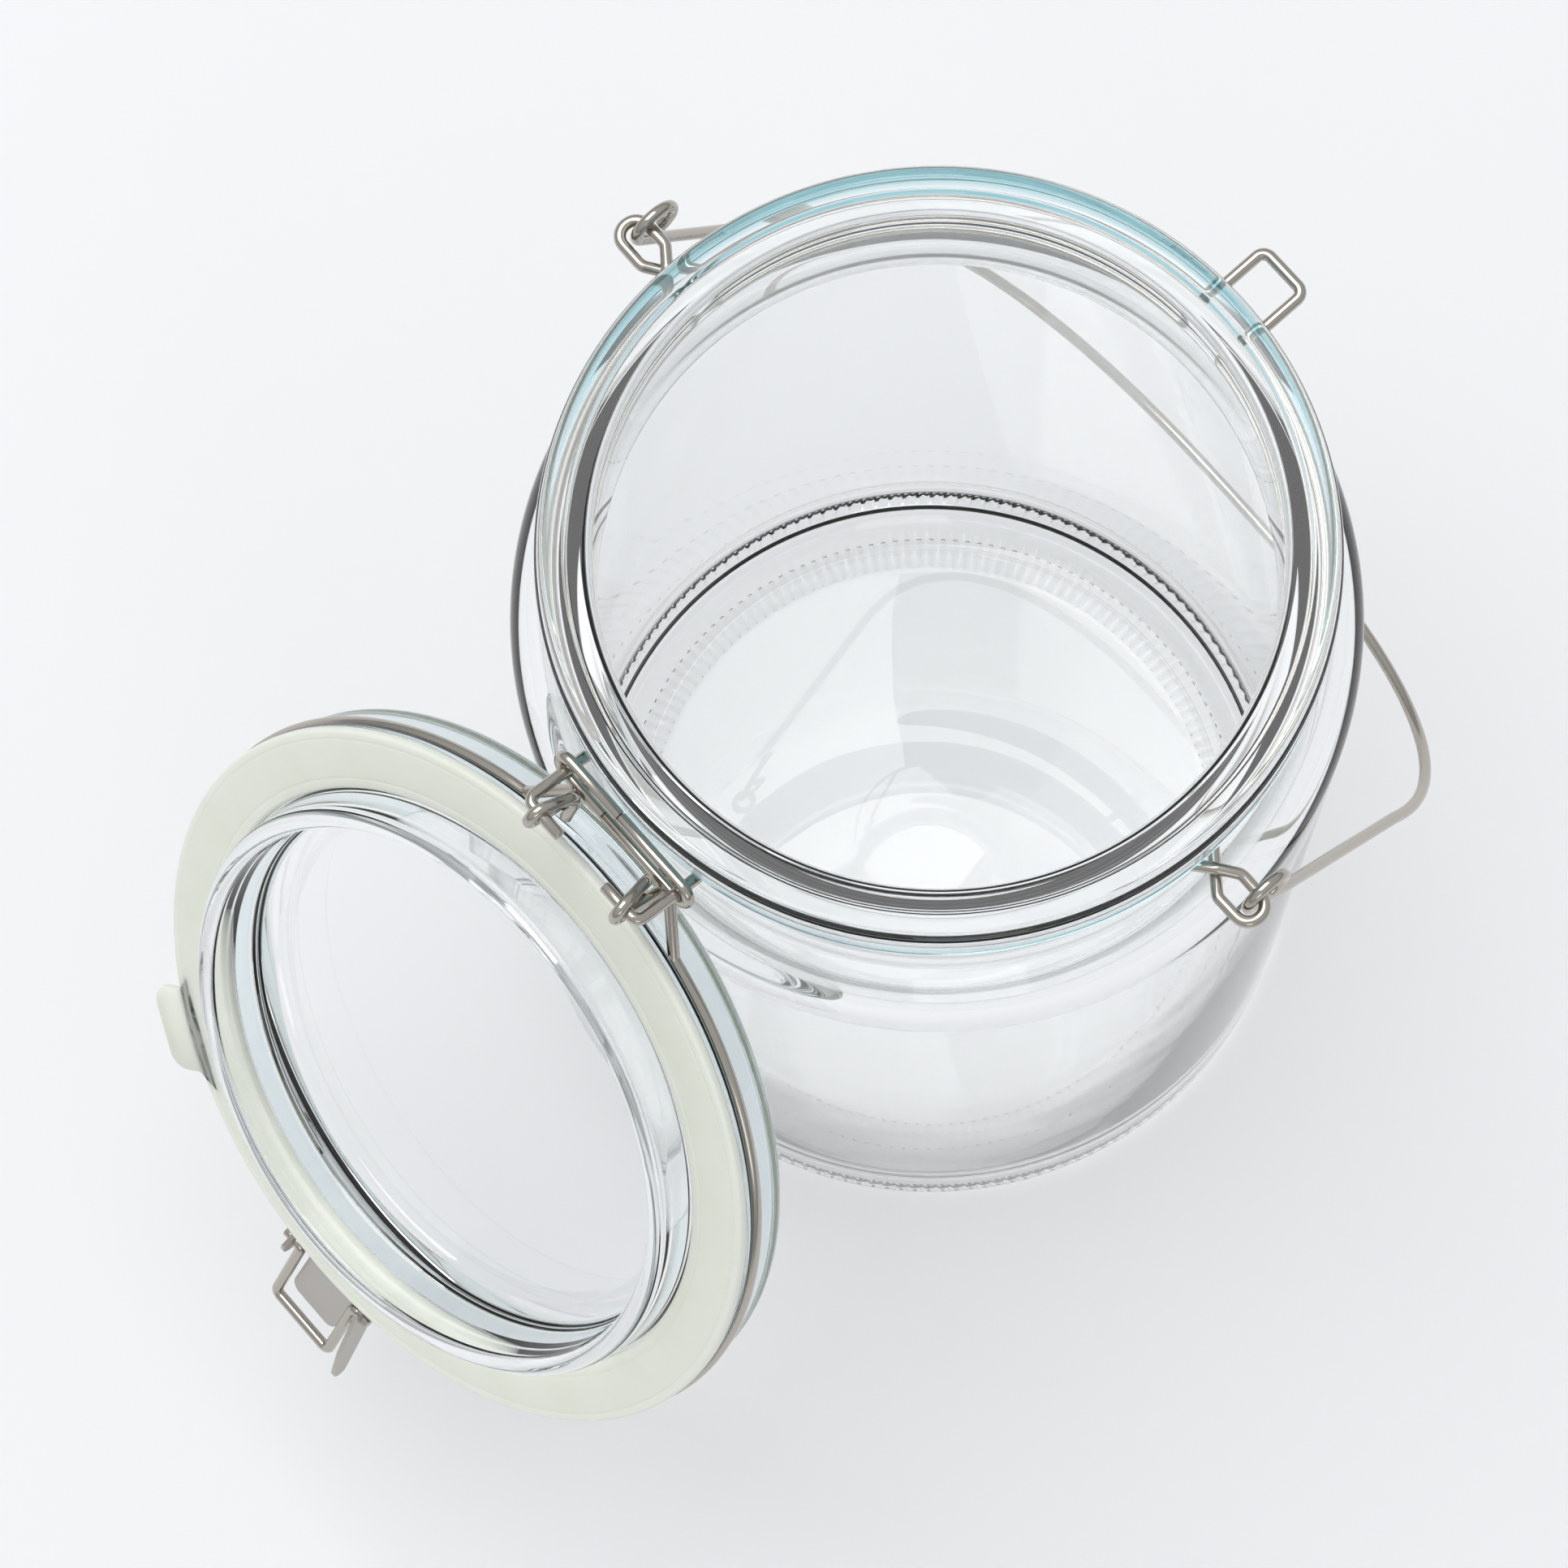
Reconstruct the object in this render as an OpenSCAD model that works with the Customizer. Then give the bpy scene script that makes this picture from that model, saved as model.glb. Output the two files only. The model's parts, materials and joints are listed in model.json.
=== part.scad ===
// Lidded glass canister: a sealed storage jar with a wire hinge, a lever latch and a carrying handle.
// Millimetres. +Z is up, +Y is the hinge side, -Y is the latch side.
// The origin is on the jar's axis, at the surface that the jar stands on.
// The rest pose has the lid swung open past level and the handle hanging at the front.

/* [Jar] */
// Height of the jar without its lid
jar_h = 190; // [140:1:240]
// Outside diameter at the shoulder, the widest place
body_d = 131; // [126:1:150]
// Outside diameter just above the heel
heel_d = 125.6; // [110:0.2:126]
// Outside diameter of the rim bead
rim_d = 120; // [106:1:126]
// Height of the rim bead
rim_h = 8.5; // [7:0.1:10]
// Inside diameter of the mouth
mouth_d = 102.4; // [94:0.2:104]
// Thickness of the glass wall
wall = 3.2; // [2.5:0.1:4]
// Thickness of the floor
floor_t = 7; // [5:0.1:10]
// Height of the push-up under the floor
punt_h = 3; // [1:0.1:4]
// Drop from the rim to the widest place
shoulder_drop = 42.7; // [40:0.1:60]
// Radius of the rounded shoulder
shoulder_r = 20; // [16:0.5:24]

/* [Lid] */
// Total thickness of the lid above the gasket
lid_h = 10; // [9:0.1:14]
// Thickness of the window in the middle of the lid
window_t = 4; // [3:0.1:5]
// Depth of the plug collar below the gasket seat
collar_h = 6; // [4:0.1:9]
// Thickness of the plug collar
collar_t = 3.6; // [3:0.1:5]
// Thickness of the gasket
gasket_t = 2; // [1.5:0.1:3]
// Length of the gasket's pull tab past the rim
tab_l = 6.5; // [4:0.1:9]
// Width of the gasket's pull tab
tab_w = 15; // [10:0.5:20]

/* [Wire fittings] */
// Diameter of the wire
wire_d = 1.9; // [1.6:0.1:2.2]
// Distance from the rim's edge out to the hinge pins
hinge_out = 9.8; // [9.4:0.1:12]
// Drop from the rim down to the hinge pins
hinge_drop = 6.6; // [6:0.1:8]
// Half the distance between the two hinge arms
arm_x = 12.4; // [11.5:0.1:15]
// Length of each turned-in pin
pin_l = 7.4; // [6:0.1:8]
// Angle that the lid is swung open, measured from closed
lid_open = 238; // [180:1:238]
// Reach of each side eye past the rim's edge
eye_out = 12.4; // [11:0.1:15]
// Half the spacing of a side eye's two strands
eye_half = 2.4; // [2.3:0.05:3]
// Width of the catch loop at the front
catch_w = 9; // [7:0.1:10]
// Reach of the catch loop past the rim's edge
catch_out = 9.5; // [9:0.1:11]

/* [Latch] */
// Distance from the rim's edge out to the lever's pivot
pivot_out = 4.6; // [4.4:0.1:6]
// Height of the lever's pivot above the rim
pivot_up = 7.5; // [6.5:0.1:9]
// Length of the rolled barrel
barrel_l = 21; // [20.5:0.5:24]
// Thickness of the lever's sheet
sheet = 0.8; // [0.6:0.05:1]
// Width of the lever's tongue
tongue_w = 10.6; // [9:0.1:11]
// Length of the lever's tongue from the pivot
tongue_l = 16.5; // [13:0.1:17]
// Length of the finger tab from the pivot
finger_l = 18; // [15:0.5:22]
// Distance along the lever from its pivot to the bail's pin
bail_pin = 4.2; // [4:0.1:5]
// Angle of the bail above the lever in the rest pose
bail_rest = 5.4; // [0:0.1:10]

/* [Handle] */
// Length of the handle from its eyes to the far side of the bow
handle_l = 118; // [108:1:130]
// Half the distance between the handle's two legs
handle_x = 69; // [68.8:0.1:70.5]
// Radius of a handle eye, to the wire's middle
handle_eye_r = 3.6; // [3.5:0.05:4]

/* [Fits] */
// Gap between a wire and what turns on it
pin_gap = 0.1; // [0.05:0.01:0.15]
// Gap between a wire and the glass groove that it lies in
groove_gap = 0.05; // [0.02:0.01:0.1]
// Gap between the gasket and the jar's rim when the lid is shut
seal_gap = 0.05; // [0.02:0.01:0.1]
// Gap between the hanging handle and the jar
handle_gap = 0.15; // [0.1:0.05:0.5]

/* [Hidden] */
$fn = 96;

wire_r = wire_d / 2;
rim_r = rim_d / 2;
body_r = body_d / 2;
mouth_r = mouth_d / 2;
heel_r = heel_d / 2;

// Neck and its wire
heel_round = 7;
rim_round = 3.2;
neck_r = rim_r - 2.6;
neck_wire_r = neck_r + 0.1;
neck_wire_z = jar_h - rim_h - wire_d - 0.1;
widest_z = jar_h - shoulder_drop;
neck_foot_z = widest_z + shoulder_r;

// Hinge and lid, as they lie with the lid shut
hinge_y = rim_r + hinge_out;
hinge_z = jar_h - hinge_drop;
seat_z = jar_h + seal_gap;
flange_z = seat_z + gasket_t;
flange_t = 1.3;
lid_wire_r = rim_r - 0.5;
lid_wire_z = flange_z + flange_t + wire_r;
lid_top = flange_z + lid_h;
lid_body_r = rim_r - 0.9;
collar_r = mouth_r - 2;
collar_root_r = collar_r + 0.8;
loop_r = wire_d + pin_gap;
loop_x = arm_x - wire_d - 0.8;
loop_l = 4.2;
// Corners in each bend of the neck wire and of the lid wire
neck_bend_steps = 2;
lid_bend_steps = 3;
// Angle from a side eye's middle to where each of its strands leaves the neck
eye_a = asin((eye_half + 1) / neck_wire_r);

// Latch, in the lid's own shut position
pivot_y = rim_r + pivot_out;
pivot_z = jar_h + pivot_up;
barrel_in = wire_r + pin_gap;
barrel_out = barrel_in + sheet;
bail_pin_drop = 1;
bail_x = catch_w / 2 + wire_r + wire_d / 2 + 0.25;
ear_x = bail_x + wire_r + 0.45;
ear_r = 2.8;
tab_flare = 11;
catch_y = rim_r + catch_out;
catch_z = neck_wire_z + 0.8;
// The latched lever hangs straight down, and its bail reaches under the catch
bail_l = norm([catch_y - pivot_y + bail_pin_drop,
    pivot_z - bail_pin - catch_z + wire_d + handle_gap]);

// Handle, in its own plane
handle_y = eye_half + 1.2;
handle_z = neck_wire_z - 0.8;
handle_reach = body_r + wire_r + handle_gap - handle_y;
handle_tilt = asin(handle_reach / norm([handle_l, handle_eye_r])) + atan2(handle_eye_r, handle_l);

function arc(c, r, a0, a1, n = 10) =
    [for (i = [0:n]) c + r * [cos(a0 + (a1 - a0) * i / n), sin(a0 + (a1 - a0) * i / n)]];
function unit(v) = v / norm(v);
// The point on a hoop of radius r, on the hinge side, that is x from the YZ plane
function foot(x, r, z) = [x, sqrt(r * r - x * x), z];
// The direction round the jar's axis at a point, anticlockwise
function along(p) = unit([-p[1], p[0], 0]);
function mirror_y(p) = [p[0], -p[1], p[2]];

// Turns a child from +Z to the direction v, and its +X as near as it can to the direction w
module aim(v, w) {
    az = atan2(v[1], v[0]);
    pol = acos(v[2] / norm(v));
    // The child's X and Y axes after the first two turns
    ex = [cos(pol) * cos(az), cos(pol) * sin(az), -sin(pol)];
    ey = [-sin(az), cos(az), 0];
    rotate([0, pol, az]) rotate([0, 0, atan2(w * ey, w * ex)]) children();
}

// A straight piece of wire with flat ends
module rod(a, b) {
    translate(a) aim(b - a, [1, 0, 0]) cylinder(r = wire_r, h = norm(b - a), $fn = 32);
}

function turn(u, v) = acos(max(-1, min(1, u * v)));
// The n vertices of the bend at p, from direction u to v: a polygon drawn round an arc of radius r
function corner(p, u, v, r, n) =
    let (whole = turn(u, v), step = whole / n, e = unit(cross(cross(u, v), u)),
        centre = p - u * r * tan(whole / 2) + e * r)
    [for (i = [0:n - 1])
        centre + r / cos(step / 2) * (sin((i + 0.5) * step) * u - cos((i + 0.5) * step) * e)];
// Vertices of every bend of a wire through pts, whose bend radii are r; its two ends are left out
function bends(pts, r, n) = [for (i = [1:len(pts) - 2])
    each corner(pts[i], unit(pts[i] - pts[i - 1]), unit(pts[i + 1] - pts[i]), r[i - 1], n)];

// Wire along a list of vertices, mitred where it turns; start and end lengthen its two ends
module wire(v, start = 0, end = 0) {
    last = len(v) - 1;
    dirs = [for (i = [0:last - 1]) unit(v[i + 1] - v[i])];
    reach = [for (i = [0:last]) i == 0 ? start : i == last ? end
        : wire_r * tan(turn(dirs[i - 1], dirs[i]) / 2) + 0.03];
    for (i = [0:last - 1])
        rod(v[i] - dirs[i] * reach[i], v[i + 1] + dirs[i] * reach[i + 1]);
}

function angle_of(p) = atan2(p[1], p[0]);
function mirror_x(p) = [-p[0], p[1], p[2]];
// A path followed by its own reflection in the YZ plane
function there_and_back(pts) = concat(pts, [for (i = [len(pts) - 1:-1:0]) mirror_x(pts[i])]);

// Wire round the jar's axis from angle a0 to a1
module hoop(r, z, a0, a1) {
    translate([0, 0, z]) rotate([0, 0, a0]) rotate_extrude(angle = a1 - a0, $fn = 180)
        translate([r, 0]) circle(r = wire_r, $fn = 32);
}

// Closed racetrack of wire in the local XY plane: half length l, end radius r
module racetrack(l, r) {
    for (s = [-1, 1]) {
        rod([-l, s * r, 0], [l, s * r, 0]);
        translate([s * l, 0, 0]) rotate([0, 0, -90 * s]) rotate_extrude(angle = 180, $fn = 64)
            translate([r, 0]) circle(r = wire_r, $fn = 32);
    }
}

// Quarter circle of wire about the local origin, from +X to +Y
module quarter_bend(r) {
    rotate_extrude(angle = 90, $fn = 64) translate([r, 0]) circle(r = wire_r, $fn = 32);
}

module mirrored_x() {
    children();
    mirror([1, 0, 0]) children();
}

// Swings what belongs to the lid from its shut position to the rest pose
module swung_open() {
    translate([0, hinge_y, hinge_z]) rotate([-lid_open, 0, 0])
        translate([0, -hinge_y, -hinge_z]) children();
}

module jar_body() {
    inner_shoulder = shoulder_r - wall;
    outline = concat(
        [[0, punt_h], [heel_r - 20, 1], [heel_r - 15, 0]],
        arc([heel_r - heel_round, heel_round], heel_round, -90, 0),
        arc([body_r - shoulder_r, widest_z], shoulder_r, 0, 52, 12),
        [[neck_r, neck_foot_z]],
        [[neck_r, jar_h - rim_h]],
        arc([rim_r - 2.4, jar_h - rim_h + 2.4], 2.4, -90, 0, 6),
        arc([rim_r - rim_round, jar_h - rim_round], rim_round, 0, 90, 8),
        arc([mouth_r + 2, jar_h - 2], 2, 90, 180, 6),
        [[mouth_r, neck_foot_z + 4]],
        arc([body_r - shoulder_r, widest_z], inner_shoulder, 52, 0, 12),
        arc([heel_r - wall - 9, floor_t + 9], 9, 0, -90),
        [[0, floor_t + punt_h]]);
    color("#cfe6e2", 0.35) difference() {
        rotate_extrude($fn = 180) polygon(outline);
        translate([0, 0, neck_wire_z]) rotate_extrude($fn = 180)
            translate([neck_wire_r, 0]) circle(r = wire_r + groove_gap, $fn = 32);
    }
}

module neck_wire() {
    arm_foot = foot(arm_x, neck_wire_r, neck_wire_z);
    arm = bends([arm_foot - along(arm_foot), arm_foot, [arm_x, hinge_y, hinge_z],
        [arm_x - pin_l, hinge_y, hinge_z]], [1.4, 1.4], neck_bend_steps);
    // Each side eye leaves the neck, crosses over itself at its root and comes back
    root = [neck_wire_r * cos(eye_a), neck_wire_r * sin(eye_a), neck_wire_z];
    cross_x = rim_r + 4.6;
    tip_x = rim_r + eye_out - wire_r;
    eye = bends([root + along(root), root, [cross_x, -eye_half, neck_wire_z + wire_r],
        [tip_x, -eye_half, neck_wire_z], [tip_x, eye_half, neck_wire_z],
        [cross_x, eye_half, neck_wire_z - wire_r], mirror_y(root), mirror_y(root + along(root))],
        [1.2, 1.2, eye_half, eye_half, 1.2, 1.2], neck_bend_steps);
    catch_foot = mirror_y(foot(catch_w / 2, neck_wire_r, neck_wire_z));
    catch = bends(there_and_back([catch_foot + along(catch_foot), catch_foot,
        [catch_w / 2, -catch_y, catch_z]]), [1.4, 1.4, 1.4, 1.4], neck_bend_steps);
    color("silver") {
        mirrored_x() {
            hoop(neck_wire_r, neck_wire_z, angle_of(eye[0]), angle_of(arm[0]));
            hoop(neck_wire_r, neck_wire_z, angle_of(catch[0]), -angle_of(eye[0]));
            wire(concat(arm, [[arm_x - pin_l, hinge_y, hinge_z]]), start = 0.2);
            wire(eye, start = 0.2, end = 0.2);
        }
        wire(catch, start = 0.2, end = 0.2);
    }
}

module hinge_ring() {
    foot_y = foot(arm_x, neck_wire_r, 0)[1];
    slope = atan2(hinge_z - neck_wire_z, hinge_y - foot_y);
    ring_y = rim_r + 1.75;
    ring_z = neck_wire_z + (ring_y - foot_y) * tan(slope);
    color("silver") translate([0, ring_y, ring_z]) rotate([90 + slope, 0, 0])
        racetrack(arm_x, loop_r);
}

module lid_glass() {
    recess_r = lid_body_r - 7;
    window_z = lid_top - 3 - window_t;
    outline = concat(
        [[0, window_z]],
        [[collar_r - collar_t - 1.5, window_z]],
        arc([collar_r - collar_t - 1.5, window_z - 1.5], 1.5, 90, 0, 4),
        arc([collar_r - collar_t + 1.5, seat_z - collar_h + 1.5], 1.5, 180, 270, 4),
        arc([collar_r - 1.5, seat_z - collar_h + 1.5], 1.5, -90, 0, 4),
        [[collar_r, seat_z], [collar_root_r - groove_gap, flange_z]],
        arc([rim_r - 0.6, flange_z + 0.65], 0.65, -90, 90, 6),
        [[lid_body_r - 0.4, flange_z + flange_t]],
        [[lid_body_r - 0.4, flange_z + flange_t + wire_d]],
        arc([lid_body_r - 2.4, lid_top - 2.4], 2.4, 0, 90, 6),
        arc([recess_r + 1.5, lid_top - 1.5], 1.5, 90, 180, 4),
        arc([recess_r - 1.5, window_z + window_t + 1.5], 1.5, 0, -90, 4),
        [[0, window_z + window_t]]);
    color("#cfe6e2", 0.35) swung_open() difference() {
        rotate_extrude($fn = 180) polygon(outline);
        translate([0, 0, lid_wire_z]) rotate_extrude($fn = 180)
            translate([lid_wire_r, 0]) circle(r = wire_r + groove_gap, $fn = 32);
    }
}

module gasket() {
    color("#e4e5dc") swung_open() translate([0, 0, seat_z]) difference() {
        union() {
            cylinder(r = rim_r + 0.1, h = gasket_t, $fn = 180);
            rotate([0, 0, -47]) translate([rim_r - 6, 0, 0]) {
                translate([0, -tab_w / 2, 0]) cube([tab_l + 2, tab_w, gasket_t]);
                for (s = [-1, 1])
                    translate([tab_l + 2, s * (tab_w / 2 - 4), 0]) cylinder(r = 4, h = gasket_t);
                translate([tab_l + 2, 4 - tab_w / 2, 0]) cube([4, tab_w - 8, gasket_t]);
            }
        }
        translate([0, 0, -1]) cylinder(r = collar_root_r + groove_gap, h = gasket_t + 2, $fn = 180);
    }
}

module lid_wire() {
    back_foot = foot(17, lid_wire_r, lid_wire_z);
    near_y = hinge_y - loop_r;
    far_y = hinge_y + loop_r;
    eye_top = hinge_z + loop_l + loop_r;
    // Hinge eye: down the near side, round the pin, up the far side and over to the near side
    eye = bends([back_foot - along(back_foot), back_foot, [loop_x, near_y, lid_wire_z],
        [loop_x, near_y, hinge_z - loop_r], [loop_x, far_y, hinge_z - loop_r],
        [loop_x, far_y, eye_top], [loop_x, near_y, eye_top]],
        [1.2, 1.3, loop_r, loop_r, 1.8], lid_bend_steps);
    // Front legs and the lever's pivot between them
    front_foot = mirror_y(back_foot);
    pivot = bends(there_and_back([front_foot + along(front_foot), front_foot,
        [barrel_l / 2 + 2.1, -pivot_y, pivot_z]]), [1.2, 1.4, 1.4, 1.2], lid_bend_steps);
    color("silver") swung_open() {
        mirrored_x() {
            hoop(lid_wire_r, lid_wire_z, angle_of(pivot[0]), angle_of(eye[0]));
            wire(concat(eye, [[loop_x, near_y + 0.4, eye_top]]), start = 0.2);
        }
        wire(pivot, start = 0.2, end = 0.2);
    }
}

// Places the latch's own frame, whose X-Y plane is (out, up), at the lever's pivot
module at_pivot() {
    swung_open() translate([0, -pivot_y, pivot_z]) children();
}

// Sheet plate square to X with its inner face at x, from an outline in (out, up)
module side_plate(x) {
    translate([x, 0, 0]) rotate([90, 0, -90]) linear_extrude(sheet) children();
}

module ear_outline() {
    circle(r = barrel_out);
    translate([bail_pin, -bail_pin_drop]) circle(r = ear_r);
    polygon([[0, barrel_out], [bail_pin, ear_r - bail_pin_drop],
        [bail_pin, -ear_r - bail_pin_drop], [0, -barrel_out]]);
}

module finger_outline() {
    tip_r = 1.6;
    polygon(concat([[0, 0.6], [0, -3.4], [finger_l - 9, -4.8]],
        arc([finger_l - 2 - tip_r, -3], tip_r, -80, 60, 8),
        [[5, 1]]));
}

module latch_lever() {
    color("gainsboro") at_pivot() difference() {
        union() {
            rotate([0, 90, 0]) cylinder(r = barrel_out, h = barrel_l, center = true);
            // Tongue, tangent to the top of the barrel
            translate([0, 0, barrel_in]) linear_extrude(sheet) {
                translate([-tongue_w / 2, 2 - tongue_l]) square([tongue_w, tongue_l - 2]);
                translate([2 - tongue_w / 2, -tongue_l]) square([tongue_w - 4, 3]);
                for (s = [-1, 1])
                    translate([s * (tongue_w / 2 - 2), 2 - tongue_l]) circle(r = 2);
            }
            side_plate(-ear_x) ear_outline();
            side_plate(ear_x + sheet) ear_outline();
            // Finger tab, flared out from the ear on the -X side
            translate([-ear_x, -2, 0]) rotate([0, 0, -tab_flare]) side_plate(0) finger_outline();
        }
        rotate([0, 90, 0]) cylinder(r = barrel_in, h = barrel_l + 4, center = true);
        translate([0, -bail_pin, -bail_pin_drop]) rotate([0, 90, 0])
            cylinder(r = barrel_in, h = barrel_l + 4, center = true);
    }
}

module latch_bail() {
    bend_r = 1.3;
    color("silver") at_pivot() translate([0, -bail_pin, -bail_pin_drop]) rotate([-bail_rest, 0, 0])
        mirrored_x() {
            rod([bail_x + bend_r, 0, 0], [ear_x + sheet + 1.6, 0, 0]);
            translate([bail_x + bend_r, -bend_r, 0]) rotate([0, 0, 90]) quarter_bend(bend_r);
            rod([bail_x, bend_r - bail_l, 0], [bail_x, -bend_r, 0]);
            translate([bail_x - bend_r, bend_r - bail_l, 0]) rotate([0, 0, -90]) quarter_bend(bend_r);
            rod([0, -bail_l, 0], [bail_x - bend_r, -bail_l, 0]);
        }
}

module carry_handle() {
    color("silver") translate([0, -handle_y, handle_z]) rotate([-handle_tilt, 0, 0]) {
        translate([0, handle_eye_r, handle_x - handle_l]) rotate([90, 0, 0]) rotate([0, 0, 180])
            rotate_extrude(angle = 180, $fn = 180) translate([handle_x, 0]) circle(r = wire_r, $fn = 32);
        mirrored_x() {
            rod([handle_x, handle_eye_r, handle_x - handle_l], [handle_x, handle_eye_r, 0]);
            translate([handle_x, 0, 0]) rotate([0, 90, 0]) rotate([0, 0, 90])
                rotate_extrude(angle = 290, $fn = 64) translate([handle_eye_r, 0]) circle(r = wire_r, $fn = 32);
        }
    }
}

jar_body();
neck_wire();
hinge_ring();
lid_glass();
gasket();
lid_wire();
latch_lever();
latch_bail();
carry_handle();
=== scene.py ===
"""Lidded glass canister: its glass, gasket, wires and latch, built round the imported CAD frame."""
import json
import math
from itertools import pairwise

import bmesh
import bpy
from bpy.props import FloatProperty, FloatVectorProperty, IntProperty, PointerProperty
from mathutils import Matrix, Vector


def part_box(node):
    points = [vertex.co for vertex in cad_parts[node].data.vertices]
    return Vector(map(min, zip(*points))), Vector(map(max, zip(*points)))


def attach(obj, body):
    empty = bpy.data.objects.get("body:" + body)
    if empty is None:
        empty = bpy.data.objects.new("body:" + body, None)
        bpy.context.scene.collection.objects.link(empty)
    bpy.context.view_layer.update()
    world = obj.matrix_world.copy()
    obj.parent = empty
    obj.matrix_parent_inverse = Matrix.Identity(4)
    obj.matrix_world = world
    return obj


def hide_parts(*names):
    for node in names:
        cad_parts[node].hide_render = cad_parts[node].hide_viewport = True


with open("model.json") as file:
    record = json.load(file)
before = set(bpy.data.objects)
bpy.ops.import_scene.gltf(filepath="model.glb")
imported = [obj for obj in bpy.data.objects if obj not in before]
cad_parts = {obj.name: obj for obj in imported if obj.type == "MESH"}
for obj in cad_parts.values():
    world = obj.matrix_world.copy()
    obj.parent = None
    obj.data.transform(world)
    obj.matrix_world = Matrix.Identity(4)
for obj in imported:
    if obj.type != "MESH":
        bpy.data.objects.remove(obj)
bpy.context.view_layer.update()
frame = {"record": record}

bl_info = {
    "name": "Lidded Glass Canister",
    "version": (1, 0, 0),
    "blender": (4, 5, 0),
    "location": "View3D > Sidebar > Canister",
    "description": "Builds a storage jar with a wire-hinged glass lid, a lever latch and a handle",
    "category": "Add Mesh",
}

MM = 0.001
JOINTS = {joint["name"]: joint for joint in frame["record"]["behaviour"]["joints"]}
HINGE = Vector(JOINTS["lid_hinge"]["pos_m"])
HANDLE_EYE = Vector(JOINTS["handle_hinge"]["pos_m"])
LID_SWING = math.radians(JOINTS["lid_hinge"]["range_deg"][1])
JAR_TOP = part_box("jar_body")[1]
UP = Vector((0, 0, 1))

# Each glass piece's attribute that sets its blue-green tint: how deep the glass is, 0 in a wall and
# 1 in the rim bead, and on the lid's outer edge partly a painted reflection of the gasket
DEPTH_AND_PAINTED_REFLECTION = "depth_and_painted_reflection"

# Turns what is built for the shut lid back to the rest pose, where the lid hangs open
OPEN_LID = (Matrix.Translation(HINGE) @ Matrix.Rotation(-LID_SWING, 4, "X")
            @ Matrix.Translation(-HINGE))


def linear(code):
    """A six-digit sRGB hex colour as linear red, green and blue."""
    parts = [int(code[i:i + 2], 16) / 255 for i in (0, 2, 4)]
    return [c / 12.92 if c <= 0.04045 else ((c + 0.055) / 1.055) ** 2.4 for c in parts]


def length(name, description, default):
    """A length property, in metres."""
    return FloatProperty(name=name, description=description, default=default, min=0.0,
                         precision=5, unit="LENGTH", subtype="DISTANCE")


def colour(name, description, code):
    """A colour property whose default is an sRGB hex colour."""
    return FloatVectorProperty(name=name, description=description, default=linear(code),
                               size=3, min=0.0, max=1.0, subtype="COLOR")


class CanisterGlass(bpy.types.PropertyGroup):
    height: length("Height", "Height of the jar without its lid", JAR_TOP.z)
    body_r: length("Body Radius", "Outside radius at the shoulder", JAR_TOP.x)
    heel_r: length("Heel Radius", "Outside radius just above the heel", 62.8 * MM)
    rim_r: length("Rim Radius", "Outside radius of the rim bead", 60.0 * MM)
    rim_h: length("Rim Height", "Height of the rim bead", 8.5 * MM)
    neck_r: length("Neck Radius", "Outside radius of the neck", 57.4 * MM)
    mouth_r: length("Mouth Radius", "Inside radius of the mouth", 51.2 * MM)
    wall: length("Wall", "Thickness of the wall", 3.2 * MM)
    floor_t: length("Floor", "Thickness of the floor", 7.0 * MM)
    punt: length("Push-up", "Height of the push-up under the floor", 3.0 * MM)
    drop: length("Shoulder Drop", "From the rim down to the widest place", 42.7 * MM)
    rib_r: length("Rib Radius", "Radius of the ring of ribs under the base", 52.5 * MM)
    rib_h: length("Rib Height", "Height of each rib under the base", 0.45 * MM)
    ribs: IntProperty(name="Ribs", description="Ribs under the base", default=160, min=0)
    lid_h: length("Lid Height", "Thickness of the lid above the gasket", 10.0 * MM)
    window: length("Window", "Thickness of the lid's middle", 4.0 * MM)
    collar_r: length("Collar Radius", "Outside radius of the plug collar", 49.2 * MM)
    collar_t: length("Collar Thickness", "Thickness of the plug collar", 3.6 * MM)
    collar_h: length("Collar Height", "Depth of the collar below the gasket seat", 6.0 * MM)
    gasket_t: length("Gasket Thickness", "Thickness of the gasket", 2.0 * MM)
    tab_l: length("Tab Length", "Reach of the gasket's pull tab past the rim", 6.5 * MM)
    tab_w: length("Tab Width", "Width of the gasket's pull tab", 15.0 * MM)
    waviness: length("Waviness", "Unevenness left in the glass by its mould", 0.05 * MM)


class CanisterWire(bpy.types.PropertyGroup):
    wire_r: length("Wire Radius", "Half the thickness of every wire", 0.95 * MM)
    arm_x: length("Arm Place", "Half the distance between the hinge arms", 12.4 * MM)
    pin_l: length("Pin Length", "Length of each turned-in hinge pin", 7.4 * MM)
    eye_out: length("Side Eye Reach", "Reach of each side eye past the rim", 12.4 * MM)
    eye_half: length("Side Eye Half Width", "Half the spacing of an eye's strands", 2.4 * MM)
    catch_w: length("Catch Width", "Width of the catch loop", 9.0 * MM)
    catch_out: length("Catch Reach", "Reach of the catch loop past the rim", 9.5 * MM)
    foot_x: length("Lid Wire Foot", "Half the distance between the lid wire's bends", 17.0 * MM)
    eye_l: length("Hinge Eye Length", "Straight length of each hinge eye", 4.2 * MM)
    handle_l: length("Handle Length", "From the eyes to the far side of the bow", 118.0 * MM)
    handle_x: length("Handle Half Width", "Half the distance between the legs", 69.0 * MM)
    handle_eye_r: length("Handle Eye Radius", "Radius of a handle eye", 3.6 * MM)


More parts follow.
